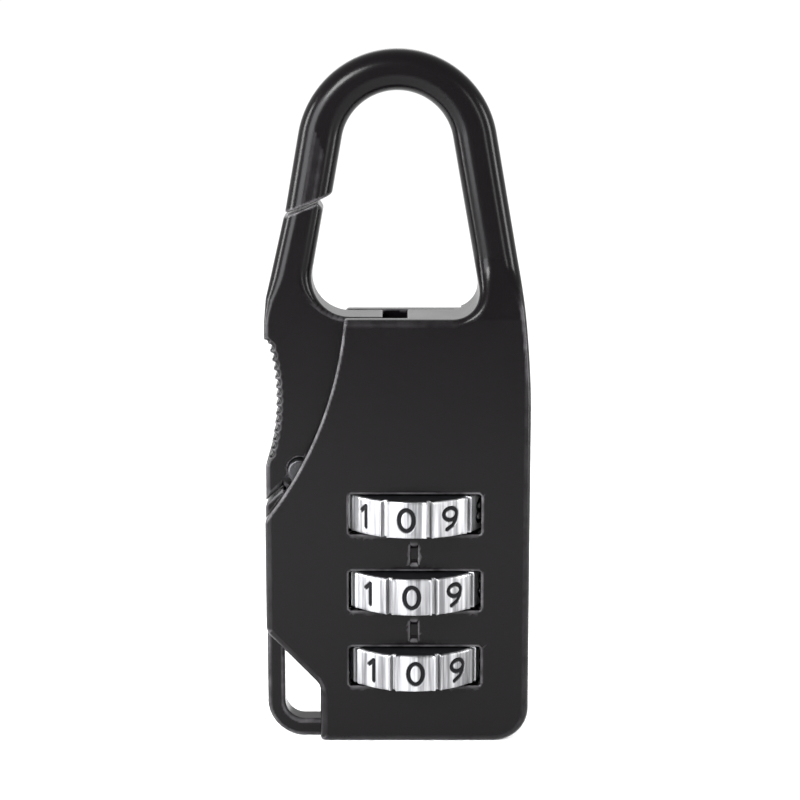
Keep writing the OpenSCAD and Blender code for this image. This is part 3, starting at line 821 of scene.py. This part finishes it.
def dial(name, z_mid, turn):
    """A number wheel: ten flats with engraved figures, a groove between each two, and a bore."""
    step = 2 * math.pi / FIGURES
    half = step / 2
    flat_r = DIAL_R - FLAT_DROP
    figure_zone = np.linspace(-FIGURE_HALF_W / flat_r, FIGURE_HALF_W / flat_r, 48)
    corner_zone = np.linspace(FIGURE_HALF_W / flat_r, half - CORNER_HALF_W / flat_r, 4)[1:]
    groove_zone = np.linspace(half - CORNER_HALF_W / flat_r, half, 15)[1:]
    side = np.concatenate([corner_zone, groove_zone])
    local = np.concatenate([-side[::-1], figure_zone, side[:-1]])
    h = DIAL_H / 2
    rows = [(inset, -h + v) for inset, v in RIM]
    rows += [(0, v) for v in np.linspace(-h + 0.3, h - 0.3, 44)]
    rows += [(inset, h - v) for inset, v in reversed(RIM)]
    points, black_mark = [], []
    strokes = digit_strokes()
    for k in range(FIGURES):
        angle = -math.pi / 2 - k * step
        from_corner = (half - np.abs(local)) * flat_r
        flat = flat_r + FLAT_DROP * smooth((CORNER_HALF_W - from_corner) / 0.36)
        groove = GROOVE_DEPTH * (1 - smooth((from_corner - 0.15) / 0.12))
        u = local * flat_r
        for inset, v in rows:
            d = stroke_distance(u, v, strokes[k]) if abs(v) < 1.4 else np.full(len(u), 9.0)
            cut = 1 - smooth((d - STROKE_HALF_W) / 0.08)
            r = flat - groove - inset - FIGURE_DEPTH * cut
            points.append(dial_row(r, local + angle + turn, z_mid + v))
            black_mark.append(1 - smooth((d - INK_HALF_W) / 0.05))
    n_rows, n_local = len(rows), len(local)
    grid = np.array(points).reshape(FIGURES, n_rows, n_local, 3)
    fill = np.array(black_mark).reshape(FIGURES, n_rows, n_local)
    # The outermost rim rows are coloured black like the figures.
    fill[:, [0, -1]] = 1
    grid = np.concatenate([grid[k] for k in range(FIGURES - 1, -1, -1)], axis=1)
    fill = np.concatenate([fill[k] for k in range(FIGURES - 1, -1, -1)], axis=1)
    around = np.arctan2(grid[0, :, 1], grid[0, :, 0] - DIAL_X)
    bore = DIAL_BORE_R
    below = [(bore, -h + 0.12), (bore + 0.12, -h), (SIDE_RING_R, -h)]
    above = [(SIDE_RING_R, h), (bore + 0.12, h), (bore, h - 0.12)]
    low, high = ([dial_row(r, around, z_mid + v) for r, v in rings] for rings in (below, above))
    grid = np.concatenate([low, grid, high])
    # The wheel's top and bottom faces are coloured black like the figures.
    fill = np.concatenate([np.ones((3, fill.shape[1])), fill, np.ones((3, fill.shape[1]))])
    n_r, n_a = grid.shape[:2]
    index = np.arange(n_r * n_a).reshape(n_r, n_a)
    right = np.roll(index, -1, axis=1)
    quads = []
    for i in range(n_r):
        j = (i + 1) % n_r
        quads.append(np.stack([index[i], right[i], right[j], index[j]], 1))
    made = new_object(name, grid.reshape(-1, 3), np.concatenate(quads))
    layer = made.data.attributes.new("black_mark", "FLOAT", "POINT")
    layer.data.foreach_set("value", fill.ravel().astype(np.float32))
    made.data.set_sharp_from_angle(angle=math.radians(38))
    return made


# ---------------------------------------------------------------- materials
PAINT_BLACK = (0.0013, 0.001, 0.0012)
# Lighter edge colour: partly rubbed paint, partly a painted highlight along the edges.
PAINT_RUBBED_AND_LIT = (0.045, 0.043, 0.045)
# Dark and light ends of the plate's streaks: painted reflection, with some drawn grain.
PLATE_DARK = (0.07, 0.07, 0.073)
PLATE_LIGHT = (0.25, 0.25, 0.256)
MARK_BLACK = (0.004, 0.004, 0.0045)


def shader(name):
    material = bpy.data.materials.new(name)
    material.use_nodes = True
    nodes, links = material.node_tree.nodes, material.node_tree.links
    return material, nodes, links, nodes["Principled BSDF"]


def noise(nodes, links, scale, detail=2.0, rough=0.5, stretch=(1, 1, 1)):
    coordinate = nodes.new("ShaderNodeTexCoord")
    stretched = nodes.new("ShaderNodeMapping")
    stretched.inputs["Scale"].default_value = stretch
    links.new(coordinate.outputs["Object"], stretched.inputs["Vector"])
    made = nodes.new("ShaderNodeTexNoise")
    made.inputs["Scale"].default_value = scale
    made.inputs["Detail"].default_value = detail
    made.inputs["Roughness"].default_value = rough
    links.new(stretched.outputs["Vector"], made.inputs["Vector"])
    return made.outputs["Fac"]


def remap(nodes, links, value, from_lo, from_hi, to_lo, to_hi):
    made = nodes.new("ShaderNodeMapRange")
    made.inputs["From Min"].default_value = from_lo
    made.inputs["From Max"].default_value = from_hi
    made.inputs["To Min"].default_value = to_lo
    made.inputs["To Max"].default_value = to_hi
    links.new(value, made.inputs["Value"])
    return made.outputs["Result"]


def mix(nodes, links, factor, a, b):
    made = nodes.new("ShaderNodeMix")
    made.data_type = "RGBA"
    links.new(factor, made.inputs["Factor"])
    made.inputs["A"].default_value = (*a, 1)
    made.inputs["B"].default_value = (*b, 1)
    return made.outputs["Result"]


def multiply(nodes, links, a, b):
    made = nodes.new("ShaderNodeMath")
    made.operation = "MULTIPLY"
    links.new(a, made.inputs[0])
    links.new(b, made.inputs[1])
    return made.outputs["Value"]


def bump(nodes, links, height, bsdf, strength, distance):
    made = nodes.new("ShaderNodeBump")
    made.inputs["Strength"].default_value = strength
    made.inputs["Distance"].default_value = distance
    links.new(height, made.inputs["Height"])
    links.new(made.outputs["Normal"], bsdf.inputs["Normal"])


def attribute(nodes, name):
    made = nodes.new("ShaderNodeAttribute")
    made.attribute_name = name
    return made.outputs["Fac"]


def black_paint(name):
    """Satin black paint on die-cast zinc: fine orange peel, and edges painted lighter, partly as rubbed
    paint and partly as a painted edge highlight.
    """
    material, nodes, links, bsdf = shader(name)
    patches = remap(nodes, links, noise(nodes, links, 700, 4, 0.6), 0.35, 0.65, 0.25, 1)
    rubbed_and_lit = multiply(nodes, links, attribute(nodes, "rub_and_sheen"), patches)
    # Convex edges are painted lighter: partly rubbed paint, partly a painted edge highlight.
    colour = mix(nodes, links, rubbed_and_lit, PAINT_BLACK, PAINT_RUBBED_AND_LIT)
    links.new(colour, bsdf.inputs["Base Color"])
    gloss = remap(nodes, links, noise(nodes, links, 160, 3), 0.3, 0.7, 0.2, 0.26)
    links.new(gloss, bsdf.inputs["Roughness"])
    bsdf.inputs["Specular IOR Level"].default_value = 0.078
    bump(nodes, links, noise(nodes, links, 2600, 2), bsdf, 0.12, 0.00004)
    return material


def figure_plate(name):
    """Bright nickel plate with black figures and black top and bottom faces, and light and dark streaks
    along the axis: partly drawn grain, partly painted reflection.
    """
    material, nodes, links, bsdf = shader(name)
    black_mark = attribute(nodes, "black_mark")
    grain_and_reflection_streaks = noise(nodes, links, 1500, 3, 0.6, (1, 1, 0.04))
    drawn_and_reflected = remap(nodes, links, grain_and_reflection_streaks, 0.38, 0.6, 0, 1)
    # The streaks' colour swings are painted reflection; their bump is drawn grain.
    plate = mix(nodes, links, drawn_and_reflected, PLATE_DARK, PLATE_LIGHT)
    # Black for the figures and for the wheel's top and bottom faces.
    made = nodes.new("ShaderNodeMix")
    made.data_type = "RGBA"
    links.new(black_mark, made.inputs["Factor"])
    links.new(plate, made.inputs["A"])
    made.inputs["B"].default_value = (*MARK_BLACK, 1)
    links.new(made.outputs["Result"], bsdf.inputs["Base Color"])
    links.new(remap(nodes, links, black_mark, 0, 1, 0.7, 0), bsdf.inputs["Metallic"])
    links.new(remap(nodes, links, black_mark, 0, 1, 0.5, 0.03), bsdf.inputs["Specular IOR Level"])
    gloss = remap(nodes, links, noise(nodes, links, 900, 3), 0.3, 0.7, 0.28, 0.42)
    links.new(gloss, bsdf.inputs["Roughness"])
    bump(nodes, links, grain_and_reflection_streaks, bsdf, 0.35, 0.00004)
    return material


def metal(name, dark, light, rough, grain=1200):
    """Bare or blackened metal with fine grain."""
    material, nodes, links, bsdf = shader(name)
    patches = noise(nodes, links, grain, 4, 0.6)
    links.new(mix(nodes, links, patches, dark, light), bsdf.inputs["Base Color"])
    bsdf.inputs["Metallic"].default_value = 1.0
    gloss = remap(nodes, links, patches, 0.3, 0.7, rough - 0.06, rough + 0.08)
    links.new(gloss, bsdf.inputs["Roughness"])
    bump(nodes, links, noise(nodes, links, grain * 3, 2), bsdf, 0.12, 0.00002)
    return material


PAINT = black_paint("case_black")
LEVER_PAINT = black_paint("lever_black")
PLATE = figure_plate("nickel_plate")
SCREW_STEEL = metal("blackened_steel", (0.03, 0.03, 0.032), (0.07, 0.07, 0.075), 0.35)
# Dark zinc colour on the sleeves: painted shade that keeps the gaps above the dials dark.
SLEEVE_ZINC = metal("zinc_darkened_for_shade", (0.05, 0.05, 0.052), (0.09, 0.09, 0.093), 0.4)
PIN_STEEL = metal("pin_steel", (0.018, 0.018, 0.019), (0.035, 0.035, 0.037), 0.3)
BRASS = metal("machined_brass", (0.6, 0.44, 0.2), (0.75, 0.58, 0.3), 0.3)
SPRING_STEEL = metal("spring_steel", (0.45, 0.45, 0.47), (0.62, 0.62, 0.64), 0.25)
SLIDER_STEEL = metal("slider_steel", (0.32, 0.32, 0.33), (0.48, 0.48, 0.5), 0.38)


def fit(piece, body, slot, material, *nodes):
    """Gives a piece its material, its CAD body and the CAD nodes that it stands for; the slot argument
    is not used.
    """
    piece.data.materials.clear()
    piece.data.materials.append(material)
    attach(piece, body)
    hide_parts(*nodes)
    return piece


# ---------------------------------------------------------------- pieces
STEP = 0.15
CASE_FACES_Y = (-HALF_T, -COVER_Y, COVER_Y, HALF_T, -HOOK_HALF_T, HOOK_HALF_T)
MARK_SIDES_X = (DIAL_X - 0.38, DIAL_X + 0.34)
case_grid = (
    levels(-HALF_W - 0.3, HALF_W + 0.3, STEP, MARK_SIDES_X, STEP * 0.5, 0.2),
    levels(-HALF_T - 0.2, HALF_T + 0.2, STEP * 1.4, CASE_FACES_Y, STEP * 0.6, 0.3),
    levels(-0.3, case_hi[2] + 0.3, STEP),
)
fit(solid("case_shell", case_field, case_grid, 0.5), "case", "case_paint", PAINT, "main_body")

cover_grid = (
    levels(-HALF_W - 0.3, HALF_W + 0.3, STEP),
    levels(1.0, HALF_T + 0.2, STEP, (COVER_Y, HALF_T), STEP * 0.6, 0.3),
    levels(-0.3, CASE_H + 0.3, STEP),
)
fit(solid("cover_plate", cover_field, cover_grid), "case", "case_paint", PAINT, "back_cover")

lever_faces_y = (-LEVER_HALF_T, LEVER_HALF_T)
lever_grid = (
    levels(lever_lo[0] - 0.2, lever_hi[0] + 0.3, STEP * 0.75),
    levels(-LEVER_HALF_T - 0.2, LEVER_HALF_T + 0.2, STEP, lever_faces_y, STEP * 0.6, 0.3),
    levels(lever_lo[2] - 0.3, lever_hi[2] + 0.3, STEP * 0.75),
)
fit(solid("gate_arm", lever_field, lever_grid), "gate", "lever_paint", LEVER_PAINT, "gate_lever")

for (name, turn), z_mid in zip(DIAL_TURNS.items(), DIAL_Z):
    wheel = dial(f"number_wheel_{name}", z_mid, math.radians(turn))
    fit(wheel, f"wheel_{name}", "dial_plate", PLATE, f"dial_{name}")

pin = small_solid("hinge_pin", pin_field, "lever_pivot_pin", 0.11)
fit(pin, "case", "pin_steel", PIN_STEEL, "lever_pivot_pin")

screw_grid = (np.arange(-1.7, 1.71, 0.07), np.arange(-1.6, 4.6, 0.08), np.arange(-1.7, 1.71, 0.07))
screws = copied(solid("screws", screw_field, screw_grid, 0.3), [(x, 0, z) for x, z in SCREWS])
fit(screws, "case", "screw_steel", SCREW_STEEL, "cover_screws")

spindle = small_solid("spindle_rod", spindle_field, "locking_spindle", 0.12)
fit(spindle, "spindle", "spindle_brass", BRASS, "locking_spindle")
for name, z_mid, rise in zip(DIAL_TURNS, DIAL_Z, (TOP_SLEEVE_RISE, SLEEVE_HALF, SLEEVE_HALF)):
    sleeve = small_solid(f"code_sleeve_{name}", sleeve_field(z_mid, rise), f"sleeve_{name}", 0.13)
    fit(sleeve, f"code_{name}", "sleeve_zinc", SLEEVE_ZINC, f"sleeve_{name}")
    node = f"detent_spring_{name}"
    leaf = small_solid(f"detent_leaf_{name}", detent_field(node), node, 0.07)
    fit(leaf, "case", "spring_steel", SPRING_STEEL, node)

slider = small_solid("reset_fork", slider_field, "reset_slider", 0.09)
fit(slider, "reset", "slider_steel", SLIDER_STEEL, "reset_slider")
# Name, CAD node, body, bore radius and mesh step
WASHERS = (
    ("spindle_seat", "spindle_washer", "case", 1.2, 0.07),
    ("sleeve_seat", "sleeve_washer", "reset", 1.75, 0.08),
)
for name, node, body, bore_r, step in WASHERS:
    seat = small_solid(name, washer_field(node, bore_r), node, step)
    fit(seat, body, "slider_steel", SLIDER_STEEL, node)

# Name, CAD node, wire radius, turns, the joint that squashes it, and that joint's travel
SPRINGS = (
    ("return_coil", "spindle_spring", 0.16, 4, "spindle_slide", 2.2),
    ("sleeve_coil", "sleeve_spring", 0.15, 2.5, "reset_slide", 1.2),
)
for name, node, wire_r, turns, joint, travel in SPRINGS:
    spring = coil_spring(name, node, wire_r, turns)
    fit(spring, "case", "spring_steel", SPRING_STEEL, node)
    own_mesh(spring)

# ---------------------------------------------------------------- floor, light and camera
floor_mesh = bpy.data.meshes.new("floor")
FLOOR_HALF_W = 20
FLOOR_DROP = 0.00002
floor_corners = [
    (x * FLOOR_HALF_W, y * FLOOR_HALF_W, 0) for x, y in ((-1, -1), (1, -1), (1, 1), (-1, 1))
]
floor_mesh.from_pydata(floor_corners, [], [(0, 1, 2, 3)])
floor = bpy.data.objects.new("floor", floor_mesh)
bpy.context.scene.collection.objects.link(floor)
floor.location.z = -FLOOR_DROP
floor_paint, _, _, floor_bsdf = shader("pale_floor")
floor_bsdf.inputs["Base Color"].default_value = (0.9, 0.9, 0.9, 1)
floor_bsdf.inputs["Roughness"].default_value = 0.9
floor_bsdf.inputs["Specular IOR Level"].default_value = 0
floor_mesh.materials.append(floor_paint)

world = bpy.data.worlds.new("studio")
bpy.context.scene.world = world
world.use_nodes = True
glow = world.node_tree.nodes["Background"]
glow.inputs["Color"].default_value = (1, 1, 1, 1)
glow.inputs["Strength"].default_value = 1.15
bpy.context.scene.view_settings.view_transform = "Standard"


def area_light(name, place, target, size, power, colour=(1, 1, 1)):
    data = bpy.data.lights.new(name, "AREA")
    data.shape = "RECTANGLE"
    data.size, data.size_y = size
    data.energy = power
    data.color = colour
    made = bpy.data.objects.new(name, data)
    bpy.context.scene.collection.objects.link(made)
    made.location = place
    made.visible_camera = False
    made.rotation_mode = "QUATERNION"
    made.rotation_quaternion = (Vector(target) - Vector(place)).to_track_quat("-Z", "Y")
    return made


middle = (0, 0, 0.035)
area_light("key_box", (-0.125, -0.15, 0.075), middle, (0.1, 0.14), 1.0, (0.95, 0.97, 1.0))
area_light("upper_box", (-0.085, -0.15, 0.15), (0, 0, 0.057), (0.06, 0.06), 0.7)
area_light("left_strip", (-0.15, -0.01, 0.062), middle, (0.03, 0.12), 0.5)
area_light("right_strip", (0.15, -0.02, 0.062), middle, (0.03, 0.12), 0.35)
area_light("fill_strip", (0.13, -0.15, 0.075), middle, (0.03, 0.14), 0.2)
area_light("back_strip", (0, 0.55, 0.15), middle, (0.5, 0.12), 0.05)

camera_data = bpy.data.cameras.new("camera")
camera_data.lens = 100
camera_data.sensor_width = 36
camera_data.clip_start, camera_data.clip_end = 0.01, 40
camera = bpy.data.objects.new("camera", camera_data)
bpy.context.scene.collection.objects.link(camera)
CAMERA_AIM = Vector((0.00024, 0, 0.0328))
CAMERA_LIFT = math.radians(11)
CAMERA_DISTANCE = 0.213
backwards = Vector((0, -math.cos(CAMERA_LIFT), math.sin(CAMERA_LIFT)))
camera.location = CAMERA_AIM + backwards * CAMERA_DISTANCE
camera.rotation_mode = "QUATERNION"
camera.rotation_quaternion = (CAMERA_AIM - camera.location).to_track_quat("-Z", "Y")
bpy.context.scene.camera = camera
